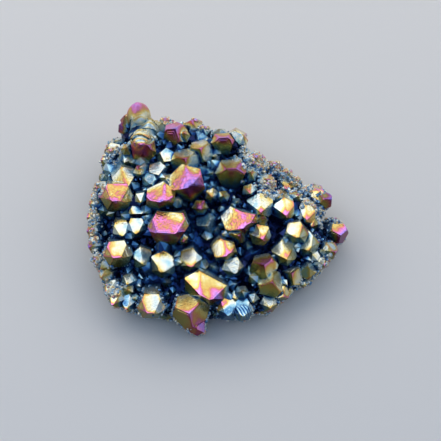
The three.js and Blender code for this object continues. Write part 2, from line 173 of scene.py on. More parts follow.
@dataclass(frozen=True)
class AuraFilm:
    """Titanium film on quartz, laid down from vapour: a mirror-bright skin whose colour is its thickness.

    The film is a true metal coat, so it reads as a coloured mirror with crisp highlights. Growth hillocks
    and the fine cross-lines of prism faces, both grown into the quartz, break those up.
    """

    name: str = "titanium_film_on_quartz"
    # Interference order of a thickening film, from the thinnest to the thickest.
    order: Order = (
        (0.00, "#1e264e"), (0.10, "#202e5c"), (0.20, "#2c5a92"), (0.30, "#6098bc"),
        (0.39, "#a6ced4"), (0.47, "#e4e8da"), (0.55, "#f0e8c0"), (0.63, "#e8d07c"),
        (0.70, "#deb058"), (0.77, "#dc8670"), (0.84, "#ec84b8"), (0.92, "#e896d4"),
        (1.00, "#b890e2"),
    )
    # The same order where the vapour only glanced by, on the side turned from the lamps: a thinner, bronze
    # film, darker with painted shade.
    lee_shade_order: Order = (
        (0.00, "#1b2240"), (0.18, "#203a60"), (0.32, "#33607e"), (0.43, "#4c6e62"),
        (0.53, "#6c7040"), (0.65, "#7c722e"), (0.75, "#86622a"), (0.86, "#82302e"),
        (1.00, "#6a2458"),
    )
    rock: str = "#8f8779"
    metal: float = 0.78
    roughness: float = 0.22
    roughness_reach: float = 0.03
    # How far apart patches and lines are, and what they add to the film's order.
    blotch_mm: float = 4.0
    spread: float = 0.07
    grain_mm: float = 0.9
    speckle: float = 0.016
    line_mm: float = 0.8
    line_gain: float = 0.055
    line_waver: float = 9.0
    mottle_mm: float = 0.8
    mottle_gain: float = 0.42
    rim_mm: float = 1.0
    rim_gain: float = 0.14
    # Relief, in parts of the bump's own height.
    bump_mm: float = 0.05
    grain_depth: float = 0.12
    line_depth: float = 0.12
    mottle_depth: float = 4.5
    # How much of the shine a skin of frost takes away, and how much frost and bare rock roughen it.
    frost_dulls: float = 0.75
    frost_roughens: float = 0.25
    rock_roughens: float = 0.6

    def material(self) -> None:
        """Build the finish's material, which reads a piece's ATTRIBUTES."""
        material = bpy.data.materials.new(self.name)
        material.use_nodes = True
        tree = material.node_tree
        tree.nodes.clear()
        marks = self.marks(tree)
        for name, operation, *inputs in self.steps():
            settings = {"operation": operation, "use_clamp": name in ("metal", "rough")}
            links = {i: marks.get(value, value) for i, value in enumerate(inputs)}
            marks[name] = add_node(tree, "ShaderNodeMath", settings, links).outputs[0]
        bump = {"Strength": 1.0, "Distance": self.bump_mm * MM, "Height": marks["relief"]}
        inputs = {
            "Base Color": self.colour(tree, marks),
            "Metallic": marks["metal"],
            "Roughness": marks["rough"],
            "Normal": add_node(tree, "ShaderNodeBump", links=bump).outputs["Normal"],
        }
        shader = add_node(tree, "ShaderNodeBsdfPrincipled", links=inputs)
        add_node(tree, "ShaderNodeOutputMaterial", links={"Surface": shader.outputs["BSDF"]})

    def marks(self, tree: NodeTree) -> dict[str, NodeSocket]:
        """Add what the finish reads: the piece's attributes, and the noises that it is uneven by.

        Args:
            tree: The material's tree.

        Returns:
            The outputs, by name.
        """
        marks = {}
        for name in ATTRIBUTES:
            marks[name] = add_node(tree, "ShaderNodeAttribute", {"attribute_name": name}).outputs["Fac"]
        place = add_node(tree, "ShaderNodeTexCoord").outputs["Object"]
        for name, size_mm, texture in (
            ("blotch", self.blotch_mm, {"Detail": 1.0, "Roughness": 0.4}),
            ("grain", self.grain_mm, {"Detail": 2.0, "Roughness": 0.5}),
            ("patchy", self.mottle_mm, {"Detail": 2.0, "Roughness": 0.6, "Distortion": 0.2}),
        ):
            texture |= {"Vector": place, "Scale": 1 / (size_mm * MM)}
            marks[name] = add_node(tree, "ShaderNodeTexNoise", links=texture).outputs["Fac"]
        rough = (self.roughness - self.roughness_reach, self.roughness + self.roughness_reach)
        for name, source, kind, *ends in (
            ("spread", "blotch", "LINEAR", 0.3, 0.7, -self.spread, self.spread),
            ("speckle", "grain", "LINEAR", 0.3, 0.7, -self.speckle, self.speckle),
            ("rough", "grain", "LINEAR", 0.3, 0.7, *rough),
            # The film is thicker along edges and tips, which the vapour reached from more sides.
            ("edge", "rim", "SMOOTHSTEP", 0.0, self.rim_mm, self.rim_gain, 0.0),
        ):
            links = dict(zip(("Value", "From Min", "From Max", "To Min", "To Max"), (marks[source], *ends)))
            between = add_node(tree, "ShaderNodeMapRange", {"interpolation_type": kind}, links)
            marks[name] = between.outputs["Result"]
        return marks

    def steps(self) -> tuple[tuple[str | float, ...], ...]:
        """List what is worked out of the marks, in order.

        Returns:
            Rows of a result's name, its operation, and the names or numbers that it works on.
        """
        return (
            # Where many small layers stopped part way over a face, both its height and its film are patchy.
            ("patchy", "SUBTRACT", "patchy", 0.5),
            ("layers", "MULTIPLY", "patchy", "mottle"),
            # The fine cross-lines of the prism faces are drawn coarser than grown, so that they show. The few
            # layers that stopped on the tip faces are thick ones, so they show more.
            ("wave", "MULTIPLY", "line", 2 * math.pi / self.line_mm),
            ("wave", "MULTIPLY_ADD", "blotch", self.line_waver, "wave"),
            ("wave", "SINE", "wave"),
            ("lined", "GREATER_THAN", "line", 0.001),
            ("thick", "GREATER_THAN", "line", TIP_LINES),
            ("lined", "ADD", "lined", "thick"),
            ("ridges", "MULTIPLY", "wave", "lined"),
            ("thickness", "MULTIPLY_ADD", "edge", "crest", "film"),
            ("thickness", "ADD", "thickness", "spread"),
            ("thickness", "MULTIPLY_ADD", "ridges", self.line_gain, "thickness"),
            ("thickness", "ADD", "thickness", "speckle"),
            ("thickness", "MULTIPLY_ADD", "layers", self.mottle_gain, "thickness"),
            # A skin of druse too fine to see scatters light, so that it looks paler and less like a mirror.
            ("metal", "MULTIPLY_ADD", "frost", -self.frost_dulls * self.metal, self.metal),
            ("metal", "MULTIPLY_ADD", "bare", -1.0, "metal"),
            ("rough", "MULTIPLY_ADD", "frost", self.frost_roughens, "rough"),
            ("rough", "MULTIPLY_ADD", "bare", self.rock_roughens, "rough"),
            ("relief", "MULTIPLY", "grain", self.grain_depth),
            ("relief", "MULTIPLY_ADD", "ridges", self.line_depth, "relief"),
            ("relief", "MULTIPLY_ADD", "layers", self.mottle_depth, "relief"),
        )

    def colour(self, tree: NodeTree, marks: dict[str, NodeSocket]) -> NodeSocket:
        """Turn the film's thickness to its colour, darken the lee side with painted shade, and leave the
        broken base bare rock.

        Args:
            tree: The material's tree.
            marks: What the finish reads and what is worked out of it.

        Returns:
            The colour.
        """
        scales = []
        for order in (self.order, self.lee_shade_order):
            scale = add_node(tree, "ShaderNodeValToRGB", links={"Fac": marks["thickness"]})
            steps = scale.color_ramp.elements
            for step, (position, tone) in zip(steps, (order[0], order[-1])):
                step.position, step.color = position, linear(tone)
            for position, tone in order[1:-1]:
                steps.new(position).color = linear(tone)
            scales.append(scale.outputs["Color"])
        colour = scales[0]
        # Inputs 6 and 7 and output 2 of a mix are its colours.
        # The lee mix darkens faces turned from the vapour and the lamps: a thinner film and painted shade.
        for share, other in ((marks["lee_shade"], scales[1]), (marks["bare"], linear(self.rock))):
            links = {"Factor": share, 6: colour, 7: other}
            colour = add_node(tree, "ShaderNodeMix", {"data_type": "RGBA"}, links).outputs[2]
        return colour


def as_piece(name: str, mesh: Mesh, film: AuraFilm) -> Object:
    """Make a finished mesh a piece of the cluster.

    Args:
        name: The piece's name.
        mesh: Its mesh.
        film: Its finish.

    Returns:
        The piece.
    """
    mesh.shade_flat()
    mesh.materials.append(bpy.data.materials[film.name])
    piece = bpy.data.objects.new(name, mesh)
    bpy.context.collection.objects.link(piece)
    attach(piece, "root")
    LOG.info("%s: %d triangles", name, len(mesh.polygons))
    return piece


@dataclass
class Sky:
    """What stands around a place and keeps the vapour from it."""

    tree: BVHTree
    reach_mm: float = 14.0
    rays: int = 48
    near_share: float = 0.6  # the most that a way counts along which something stands within reach
    ways: list[Vector] = field(init=False)

    def __post_init__(self) -> None:
        """Spread the directions that are tried evenly over a sphere."""
        index = np.arange(self.rays) + 0.5
        height = 1 - 2 * index / self.rays
        turn = math.pi * (1 + math.sqrt(5)) * index
        ring = np.sqrt(1 - height**2)
        rows = np.stack([ring * np.cos(turn), ring * np.sin(turn), height], axis=1)
        self.ways = [Vector(row) for row in rows]

    def openness(self, place: Vector) -> float:
        """Measure how open to the vapour a place is.

        Args:
            place: The place, just off the surface.

        Returns:
            From 0 in a hole to near 1 on a tip.
        """
        reach = self.reach_mm * MM
        total = 0.0
        for way in self.ways:
            _, _, hit, far = self.tree.ray_cast(place, way, reach)
            total += 1.0 if hit is None else min(far / reach, 1.0) * self.near_share
        return total / self.rays


@dataclass
class Surface:
    """A mesh's skin as arrays, for placing growths on it and storing attributes."""

    mesh: Mesh
    points: Array = field(init=False)
    normals: Array = field(init=False)
    triangles: Array = field(init=False)
    areas: Array = field(init=False)

    def __post_init__(self) -> None:
        """Read the mesh into arrays."""
        self.points = np.empty(len(self.mesh.vertices) * 3)
        self.mesh.vertices.foreach_get("co", self.points)
        self.points = self.points.reshape(-1, 3)
        self.triangles = np.empty(len(self.mesh.polygons) * 3, dtype=np.int32)
        self.mesh.polygons.foreach_get("vertices", self.triangles)
        self.triangles = self.triangles.reshape(-1, 3)
        a, b, c = (self.points[self.triangles[:, i]] for i in range(3))
        cross = np.cross(b - a, c - a)
        doubled = np.linalg.norm(cross, axis=1)
        self.areas = doubled / 2
        self.normals = cross / np.maximum(doubled, TINY_AREA)[:, None]

    def read(self, name: str) -> Array:
        """Read a float attribute of the points.

        Args:
            name: The attribute's name.

        Returns:
            One number a point.
        """
        values = np.empty(len(self.points))
        self.mesh.attributes[name].data.foreach_get("value", values)
        return values

    def read_faces(self, name: str) -> Array:
        """Read a float attribute of the points as one mean number a triangle."""
        return self.read(name)[self.triangles].mean(axis=1)

    def write(self, domain: str, attributes: dict[str, Array]) -> None:
        """Store float attributes.

        Args:
            domain: "POINT" or "CORNER".
            attributes: One number for each point or corner, by the attributes' names.
        """
        for name, values in attributes.items():
            attribute = self.mesh.attributes.new(name, "FLOAT", domain)
            attribute.data.foreach_set("value", np.ascontiguousarray(values, np.float32))


@dataclass(frozen=True)
class Region:
    """A round region of the cluster seen from above, placed in shares of the CAD box."""

    across: float
    back: float
    reach: float

    def holds(self, points: Array) -> Array:
        """Tell how far inside the region points are, from 1 around its middle to 0 from its border on."""
        off, reach = points[:, :2] - in_box(self.across, self.back), self.reach * (HIGH - LOW)[0]
        return ramp(np.linalg.norm(off, axis=1), reach, reach / 3)


class Lines(Enum):
    """How the growth lines run over a crystal."""

    PRISM = "on the prism faces only"
    SLANTED = "slanting over its tip faces too"
    ARCS = "in arcs over its tip faces, layer over layer"


@dataclass(frozen=True)
class Coat:
    """A crystal whose film came out thicker or thinner, placed in shares of the CAD box seen from above.

    Mottle is how patchy the crystal's faces are and frost how matt they are, both from 0 to 1. The slant is
    how much thicker the film is at its +X side than at its -X side. Rounded is how often it is smoothed.
    """

    across: float
    back: float
    reach_mm: float
    order: float
    mottle: float = 0.0
    slant: float = 0.0
    lines: Lines = Lines.PRISM
    rounded: int = 0
    frost: float = 0.0
    tip_gain: ClassVar[float] = 0.2  # how much thicker the film is at the very tip
    tip_mm: ClassVar[float] = 1.2
    tip_orders: ClassVar[tuple[float, float]] = (0.42, 0.545)  # a thinner coat has no thicker tip
    layer_mm: ClassVar[float] = 1.8
    arc_pitch: ClassVar[float] = 0.45  # spreads the arcs' lines to about one a layer

    def off(self, points: Array) -> Array:
        """Tell how far off the crystal's middle points are, seen from above, as rows in metres."""
        return points[:, :2] - in_box(self.across, self.back)

    def weight(self, points: Array) -> Array:
        """Tell how far the crystal's own film holds at points, from 1 in its middle to 0 past its reach."""
        near = np.clip(1.8 * (1 - np.linalg.norm(self.off(points), axis=1) / (self.reach_mm * MM)), 0, 1)
        return near * near * (3 - 2 * near)

    def thickness(self, points: Array) -> Array:
        """Tell the crystal's own thickness of film at each point.

        Args:
            points: Rows in metres.

        Returns:
            Its order, with its slant, and thicker at the very tip unless it is thin all over.
        """
        off = self.off(points)
        tip = self.tip_gain * ramp(self.order, *self.tip_orders) * (self.rounded == 0)
        tip = tip * np.exp(-((np.linalg.norm(off, axis=1) / (self.tip_mm * MM)) ** 2))
        return self.order + self.slant * np.clip(off[:, 0] / (self.reach_mm * MM), -0.5, 0.5) + tip

    def ruled(self, points: Array) -> Array:
        """Tell how far across its growth lines each point lies.

        Args:
            points: Rows in metres.

        Returns:
            Millimetres, one number a point.
        """
        if self.lines is Lines.ARCS:
            return TIP_LINES + 1.0 + self.arc_pitch * self.arcs(points)
        x, y = (self.off(points) / MM).T
        return TIP_LINES + LINE_START + 0.5 * y + 0.87 * x

    def arcs(self, points: Array) -> Array:
        """Measure how far points are from the middle of the arcs, in front of the crystal, in millimetres."""
        x, y = (self.off(points) / MM).T
        return np.hypot(x, y + 0.9 * self.reach_mm)

    def tiles(self, points: Array) -> Array:
        """Lay layer over layer like roof tiles, each sloping back under the next.

        Args:
            points: Rows in metres.

        Returns:
            How high each point stands on its tile, from 0 to 1, and 0 on a crystal without arcs.
        """
        if self.lines is not Lines.ARCS:
            return np.zeros(len(points))
        return (1 - self.arcs(points) / self.layer_mm % 1.0) * np.clip(2 * self.weight(points) - 0.6, 0, 1)


@dataclass
class Cluster:
    """The body of the cluster: its crystals' flat faces, with their growth steps, edges and colour."""

    film: AuraFilm
    coats: tuple[Coat, ...]
    seed: int = 7
    coarse_mm: float = 1.3
    fine_mm: float = 0.85
    base_coarser: float = 4.0
    step_area_mm2: float = 7.0
    step_sides: int = 8
    step_side_mm: float = 0.5
    step_width_mm: float = 0.7
    step_height_mm: float = 0.07
    step_room_mm: float = 0.8
    ridge_turn: float = math.radians(9)
    valley_turn: float = math.radians(12)
    mark_mm: float = 0.2
    rounded_mm: float = 0.4
    rounded_from_mm: float = 4.0
    overgrowth_mm: float = 0.4
    layer_height_mm: float = 0.9
    # The film's order in a hollow; what open air, a clear face, a painted glint along a valley and each
    # face's own tint add; and the order of a crusted place.
    hollow_film: float = 0.05
    open_gain: float = 1.42
    clear_gain: float = 0.05
    clear_mm: float = 3.0
    painted_glint_gain: float = 0.16
    painted_glint_mm: float = 0.6
    tint_gain: float = 0.06
    crust_film: float = 0.42
    crust_share: float = 0.85
    rounded_lee_shade_cut: float = 0.8  # how much of its painted lee shade a rounded place loses
    shell: BMesh = field(init=False)
    ridges: list[Vector] = field(init=False, default_factory=list)
    valleys: list[Vector] = field(init=False, default_factory=list)

    def __post_init__(self) -> None:
        """Copy the CAD cluster, and join its loose triangles into numbered flat faces."""
        self.shell = bmesh.new()
        self.shell.from_mesh(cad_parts[NODE].data)
        bmesh.ops.remove_doubles(self.shell, verts=self.shell.verts, dist=0.002 * MM)
        flat = {"verts": self.shell.verts, "edges": self.shell.edges, "delimit": set()}
        bmesh.ops.dissolve_limit(self.shell, angle_limit=math.radians(0.6), **flat)
        number = self.shell.faces.layers.int.new("facet")
        for i, face in enumerate(self.shell.faces):
            face[number] = i + 1

    def build(self) -> tuple[Surface, Sky]:
        """Build the piece that stands for the CAD cluster.

        Returns:
            Its skin as arrays, and what shades it.
        """
        self.mark_edges()
        self.grow_steps()
        self.refine(self.coarse_mm)
        for coat in self.coats:
            if coat.rounded:
                self.round_off(coat)
        sky = self.measure_openness()
        self.refine(self.fine_mm)
        mesh = bpy.data.meshes.new("crystal_faces")
        self.shell.to_mesh(mesh)
        self.shell.free()
        skin = Surface(mesh)
        self.colour(skin)
        # A growth step may not stand out past the CAD box.
        mesh.vertices.foreach_set("co", np.clip(skin.points, LOW, HIGH).ravel())
        piece = as_piece("crystal_faces", mesh, self.film)
        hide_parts(NODE)
        return Surface(mesh), sky

    def mark_edges(self) -> None:
        """Mark places along the outward edges and the valleys."""
        for edge in self.shell.edges:
            turn = edge.calc_face_angle_signed(0.0)
            if -self.valley_turn <= turn <= self.ridge_turn:
                continue
            a, b = (v.co for v in edge.verts)
            parts = max(1, int((b - a).length / (self.mark_mm * MM)))
            marks = self.ridges if turn > 0 else self.valleys
            marks.extend(a.lerp(b, i / parts) for i in range(parts + 1))

    def grow_steps(self) -> None:
        """Raise low growth steps on the larger crystal faces, as quartz grows layer on layer."""
        random = np.random.default_rng(self.seed)
        least = self.step_area_mm2 * MM * MM
        wide = [face for face in self.shell.faces if face.calc_area() > least and self.is_plain(face)]
        middles = np.array([face.calc_center_median()[:] for face in wide])
        smooth = sum((coat.weight(middles) for coat in self.coats if coat.rounded), np.zeros(len(wide)))
        height = self.step_height_mm * MM
        count = 0
        for face, kept in zip(wide, smooth < 0.05):
            if not kept:
                continue
            for _ in range(random.integers(0, 3)):
                room = self.room(face)
                if room < self.step_room_mm * MM:
                    break
                width = min(self.step_width_mm * MM * random.uniform(0.6, 1.3), room * 0.35)
                inset = {"faces": [face], "use_even_offset": True}
                bmesh.ops.inset_individual(self.shell, thickness=width, **inset)
                slide = Vector(random.normal(size=3))
                slide -= face.normal * slide.dot(face.normal)
                slide = slide.normalized() * width * random.uniform(0.2, 0.6)
                bmesh.ops.translate(self.shell, vec=slide, verts=face.verts)
                bmesh.ops.inset_individual(self.shell, thickness=0.8 * height, depth=height, **inset)
                count += 1
        LOG.info("%d growth steps", count)

    @staticmethod
    def room(face: BMFace) -> float:
        """Find how far a convex face can be inset before its shortest side is used up, in metres."""
        corners = list(face.loops)
        slopes = [1 / math.tan(loop.calc_angle() / 2) for loop in corners]
        following = slopes[1:] + slopes[:1]
        return min(c.edge.calc_length() / max(a + b, 1e-6) for c, a, b in zip(corners, slopes, following))

    def is_plain(self, face: BMFace) -> bool:
        """Tell whether a face is a compact convex one that can carry a step."""
        shortest = min(edge.calc_length() for edge in face.edges)
        if len(face.verts) > self.step_sides or shortest <= self.step_side_mm * MM or face.normal.z < -0.3:
            return False
        return all(loop.is_convex for loop in face.loops)

    def refine(self, longest_mm: float) -> None:
        """Cut the faces finer, so that colour and rounding can follow them.

        Args:
            longest_mm: The longest edge that is left above the flat base.
        """
        bmesh.ops.triangulate(self.shell, faces=self.shell.faces, quad_method="BEAUTY", ngon_method="BEAUTY")
        limits = {False: longest_mm * MM, True: self.base_coarser * longest_mm * MM}
        for _ in range(7):
            longest = [e for e in self.shell.edges if e.calc_length() > limits[self.on_base(e)]]
            if longest:
                self.halve(longest)

    @staticmethod
    def on_base(edge: BMEdge) -> bool:
        """Tell whether an edge lies on the flat base."""
        return edge.verts[0].co.z + edge.verts[1].co.z <= 0.2 * MM

    def halve(self, edges: list[BMEdge]) -> None:
        """Cut edges in half, and leave only triangles."""
        bmesh.ops.subdivide_edges(self.shell, edges=edges, cuts=1)
        bmesh.ops.triangulate(self.shell, faces=[f for f in self.shell.faces if len(f.verts) > 3])

    def round_off(self, coat: Coat) -> None:
        """Round a crystal that later layers of quartz grew over.

        Args:
            coat: The crystal's film, which knows its place.
        """
        for _ in range(3):
            near = set(self.verts_of(coat))
            long = [e for e in self.shell.edges if e.calc_length() > self.rounded_mm * MM]
            self.halve([e for e in long if not near.isdisjoint(e.verts)])
        verts = self.verts_of(coat)
        every_way = {"use_axis_x": True, "use_axis_y": True, "use_axis_z": True}
        for _ in range(coat.rounded):
            bmesh.ops.smooth_vert(self.shell, verts=verts, factor=0.5, **every_way)
        bmesh.ops.recalc_face_normals(self.shell, faces=self.shell.faces)
        places = np.array([v.co[:] for v in verts]).reshape(-1, 3)
        lift = (self.overgrowth_mm + self.layer_height_mm * coat.tiles(places)) * MM
        for vert, rise in zip(verts, lift):
            vert.co += vert.normal * rise

    def verts_of(self, coat: Coat) -> list[BMVert]:
        """Find the vertices of one crystal.

        Args:
            coat: The crystal's film, which knows its place.

        Returns:
            The vertices well inside its reach and off the base.
        """
        points = np.array([v.co[:] for v in self.shell.verts])
        own = (coat.weight(points) > 0.3) & (points[:, 2] > self.rounded_from_mm * MM)
        self.shell.verts.ensure_lookup_table()
        return [self.shell.verts[i] for i in np.flatnonzero(own)]

    def measure_openness(self) -> Sky:
        """Measure how open to the vapour each point is, and keep it in the "open" attribute.

        Returns:
            What shades the cluster.
        """
        layer = self.shell.verts.layers.float.new("open")
        sky = Sky(BVHTree.FromBMesh(self.shell))
        for vert in self.shell.verts:
            vert[layer] = sky.openness(vert.co + vert.normal * 0.15 * MM)
        return sky

    @staticmethod
    def distances(points: Array, marks: list[Vector]) -> Array:
        """Measure how far each point is from the nearest mark.

        Args:
            points: Rows in metres.
            marks: The marks.

        Returns:
            Millimetres, FAR_MM at most, one number a point.
        """
        tree = KDTree(len(marks))
        for i, mark in enumerate(marks):
            tree.insert(mark, i)
        tree.balance()
        return np.minimum(np.array([tree.find(p)[2] for p in points]) / MM, FAR_MM)

    def colour(self, skin: Surface) -> None:
        """Store the film's thickness and the other attributes that the finish reads.

        Args:
            skin: The refined cluster.
        """
        marks = self.marks(skin)
        corner = skin.triangles.ravel()
        film, tinted, rounded_share = (marks.pop(name)[corner] for name in ("film", "tinted", "rounded_share"))
        facet = np.empty(len(skin.triangles), dtype=np.int32)
        skin.mesh.attributes["facet"].data.foreach_get("value", facet)
        tint = np.random.default_rng(self.seed + 1).normal(0.0, 1.0, facet.max() + 1)
        corners = {
            "film": film + self.tint_gain * np.repeat(tint[facet], 3) * tinted,
            # Lee tones: a thinner film and painted shade on faces turned from the vapour and the lamps, less
            # of it on rounded crystals.
            "lee_shade": np.repeat(lee_shade_side(skin.normals), 3) * (1 - self.rounded_lee_shade_cut * rounded_share),
            "line": self.growth_lines(skin),
            "bare": (skin.points[corner, 2] < 0.02 * MM) & (np.repeat(skin.normals[:, 2], 3) < -0.9),
        }
        skin.write("POINT", marks)
        skin.write("CORNER", corners)

    def marks(self, skin: Surface) -> dict[str, Array]:
        """Work out what the film is like at each point of the skin.

        Args:
            skin: The refined cluster.

        Returns:
            The attributes "rim", "crest", "mottle" and "frost", with the film's order, how far each face
            keeps a tint of its own, and how rounded the place is.
        """
        points, openness = skin.points, skin.read("open")
        rim, root = (self.distances(points, marks) for marks in (self.ridges, self.valleys))
        film = self.hollow_film + self.open_gain * np.clip(openness - HOLLOW, 0, 1)
        film += self.clear_gain * ramp(root, 0, self.clear_mm)
        # Painted glint: the film is thicker, so paler, close along the valleys, standing in for bright glints
        # there.
        film += self.painted_glint_gain * np.exp(-root / self.painted_glint_mm) * ramp(openness, 0.14, 0.24) * patches(points)
        frost = np.max([region.holds(points) for region in CRUSTED], axis=0) * ramp(openness, 0.56, 0.48)
        film += (self.crust_film + 0.5 * (openness - 0.3) - film) * self.crust_share * frost
        mottle, tinted, rounded_share = 0.5 * patches(0.6 * points), np.ones(len(points)), np.zeros(len(points))
        for coat in self.coats:
            share = coat.weight(points) * np.maximum(ramp(openness, 0.24, 0.4), coat.frost)
            film += (coat.thickness(points) + 0.4 * (openness - 0.5) - film) * share
            mottle += (coat.mottle - mottle) * share
            frost += (coat.frost - frost) * share
            tinted -= 0.75 * tinted * share
            if coat.rounded:
                rim = np.where(share > 0.1, FAR_MM, rim)
                rounded_share = np.maximum(rounded_share, share)
        # Edges gleam where they stand out, and only where the film is neither thin nor at its thickest.
        crest = ramp(openness, 0.36, 0.56) * (0.4 + 0.6 * patches(points))
        crest *= ramp(film, 0.95, 0.73) * ramp(film, 0.5, 0.6)
        marks = {"rim": rim, "crest": crest, "mottle": mottle, "frost": frost}
        return marks | {"film": film, "tinted": tinted, "rounded_share": rounded_share}

    def growth_lines(self, skin: Surface) -> Array:
        """Number the lines that run across the prism faces, and over the tip faces that have them.

        Args:
            skin: The refined cluster.

        Returns:
            Millimetres across the lines, or 0 on a face without them, one number a corner.
        """
        corners = skin.points[skin.triangles.ravel()]
        flat = np.repeat(skin.normals, 3, axis=0)
        fan = fan_axes(corners)
        lean = np.sum(fan * flat, axis=1)
        rise = unit(fan - flat * lean[:, None])
        along = LINE_START + np.sum(corners * rise, axis=1) / MM
        line = np.where((np.abs(lean) < 0.42) & (flat[:, 2] > -0.2), along, 0.0)
        for coat in self.coats:
            if coat.lines is not Lines.PRISM:
                line = np.where(coat.weight(corners) > 0.6, coat.ruled(corners), line)
        return line


class Place(Enum):
    """Where on the cluster a growth of small crystals sits."""

    BED = "bed"
    CRUST = "crust"
    SIDE = "side"


@dataclass(frozen=True)
class Crystals:
    """Small quartz points, one a row: how open their places are, how they stand and how large they are."""

    openness: Array
    feet: Array
    axes: Array
    girths: Array
    lengths: Array


@dataclass
class Druse:
    """A growth of tiny quartz points, joined in one mesh."""

    name: str
    place: Place
    film: AuraFilm
    count: int
    girth_mm: tuple[float, float]
    slender: tuple[float, float]
    tone: tuple[float, float]
    jitter: float
    seed: int
    upright: float = 0.35
    shapes: int = 6
    open_gain: float = 1.4
    foot_gain: float = 0.7
    foot_thinner: float = 0.2
    tint_gain: float = 0.05
    tint_waves: ClassVar[Array] = np.array([37.1, 23.7, 51.3])  # no two faces' tints come out alike
    random: np.random.Generator = field(init=False)

    def __post_init__(self) -> None:
        """Seed the growth's unevenness."""
        self.random = np.random.default_rng(self.seed)

    def build(self, skin: Surface, sky: Sky) -> None:
        """Scatter the growth over the cluster's skin.

        Args:
            skin: The cluster's skin.
            sky: What shades it.
        """
        crystals = self.planted(skin)
        mesh, film = self.grown(crystals, *self.films(sky, crystals))
        facets = Surface(mesh)
        plain = np.zeros(len(facets.points))
        facets.write("POINT", dict.fromkeys(("crest", "line", "mottle", "frost", "bare"), plain))
        facets.write("POINT", {"rim": plain + FAR_MM})
        tint = self.tint_gain * np.sin(facets.normals @ self.tint_waves)
        film = film[facets.triangles.ravel()] + np.repeat(tint, 3)
        # The lee tones darken faces turned from the vapour and the lamps: a thinner film and painted shade.
        facets.write("CORNER", {"film": film, "lee_shade": np.repeat(lee_shade_side(facets.normals), 3)})
        as_piece(self.name, mesh, self.film)

    def planted(self, skin: Surface) -> Crystals:
        """Stand points on the likelier faces, and keep those that stay inside the CAD box.

        Args:
            skin: The cluster's skin.

        Returns:
            The points that are kept.
        """
        weight = skin.areas * self.likelihood(skin)
        chosen = self.random.choice(len(weight), size=self.count, p=weight / weight.sum())
        share = self.random.random((self.count, 2))
        share = np.where(share.sum(axis=1, keepdims=True) > 1, 1 - share, share)
        a, b, c = (skin.points[skin.triangles[chosen, i]] for i in range(3))
        feet = a + (b - a) * share[:, :1] + (c - a) * share[:, 1:]
        axes = skin.normals[chosen] + self.jitter * self.random.normal(size=(self.count, 3))
        axes = unit(axes + self.upright * fan_axes(feet))
        small, large = self.girth_mm
        girths = (small + (large - small) * self.random.random(self.count) ** 2.2) * MM
        lengths = girths * self.random.uniform(*self.slender, self.count)
        room = 0.6 * girths[:, None]
        ends = (feet, feet + axes * lengths[:, None])
        inside = np.all([(end - room > LOW) & (end + room < HIGH) for end in ends], axis=(0, 2))
        openness = skin.read_faces("open")[chosen]
        return Crystals(*(column[inside] for column in (openness, feet, axes, girths, lengths)))

    def films(self, sky: Sky, crystals: Crystals) -> tuple[Array, Array]:
        """Say how thick the film is on each point.

        Args:
            sky: What shades the cluster.
            crystals: The points.

        Returns:
            The film's order at their feet, and at their tips.
        """
        openness = crystals.openness
        tone = self.random.uniform(*self.tone, len(openness))
        if self.place is not Place.BED:
            tip_film = tone + self.open_gain * (openness - 0.42)
            return tip_film - self.foot_thinner, tip_film
        # In the bed the feet are in the dark, and the tips reach up to the vapour.
        tone = self.random.uniform(*self.tone, len(openness))
        tips = crystals.feet + crystals.axes * (crystals.lengths[:, None] + 0.2 * MM)
        reached = np.array([sky.openness(Vector(tip)) for tip in tips])
        foot_film = self.foot_gain * np.clip(openness - HOLLOW, 0, 1)
        return foot_film, tone + self.open_gain * np.clip(reached - HOLLOW, 0, 1)

    def grown(self, crystals: Crystals, foot: Array, tip: Array) -> tuple[Mesh, Array]:
        """Give each point one of a few shapes, and join them.

        Args:
            crystals: The points.
            foot: The film's order at their feet.
            tip: The film's order at their tips.

        Returns:
            The mesh, and the film's order at each of its vertices.
        """
        shapes = [self.point_shape() for _ in range(self.shapes)]
        kinds = self.random.integers(0, len(shapes), len(foot))
        across, up = self.bases(crystals.axes)
        girths, lengths = crystals.girths[:, None], crystals.lengths[:, None]
        sizes = np.stack([across * girths, up * girths, crystals.axes * lengths], axis=1)
        points, faces, films = [], [], []
        start = 0
        for kind, (corners, sides) in enumerate(shapes):
            own = np.flatnonzero(kinds == kind)
            points.append((crystals.feet[own, None] + corners @ sizes[own]).reshape(-1, 3))
            starts = start + np.arange(len(own)) * len(corners)
            faces.append((sides + starts[:, None, None]).reshape(-1, 3))
            start += len(own) * len(corners)
            rise = np.clip(corners[:, 2], 0, 1) ** 0.7
            films.append((foot[own, None] + (tip - foot)[own, None] * rise).ravel())
        return self.joined(np.concatenate(points), np.concatenate(faces)), np.concatenate(films)

    def likelihood(self, skin: Surface) -> Array:
        """Say how likely the growth is on each face of the skin.

        Args:
            skin: The cluster's skin.

        Returns:
            One number from 0 up for each face.
        """
        middle = skin.points[skin.triangles].mean(axis=1)
        height = middle[:, 2] / MM
        openness, frost = skin.read_faces("open"), skin.read_faces("frost")
        outward = skin.normals @ SHOW_NORMAL
        off_floor = ramp(height, 0.8, 1.8)
        steep = ramp(outward, 0.35, 0.1)
        if self.place is Place.CRUST:
            crust = np.max([region.holds(middle) for region in CRUSTED], axis=0)
            frosted = np.clip(1.4 * frost - 0.3, 0, 1) * (crust > 0)
            back = crust * (skin.normals[:, 1] > 0.3) * steep
            return off_floor * ramp(outward, -0.5, 0.0) * np.maximum(frosted, back)
        if self.place is Place.BED:
            high = ramp(height, 3.5, 5.5) * ramp(outward, -0.3, 0.2)
            return ramp(openness, 0.27, 0.145) * high * np.clip(1 - 3 * frost, 0, 1)
        reach = (middle - (LOW + HIGH) / 2) / ((HIGH - LOW) / 2)
        outer = ramp(np.linalg.norm(reach[:, :2], axis=1), 0.72, 0.92)
        lower = ramp(middle[:, 2] / HIGH[2], 0.5, 0.3)
        hidden = np.clip(6 * (0.56 - openness), 0.03, 1)
        hidden = np.maximum(hidden, ramp(height, 7, 4) * (skin.normals[:, 2] < 0.2))
        return outer * lower * off_floor * steep * hidden

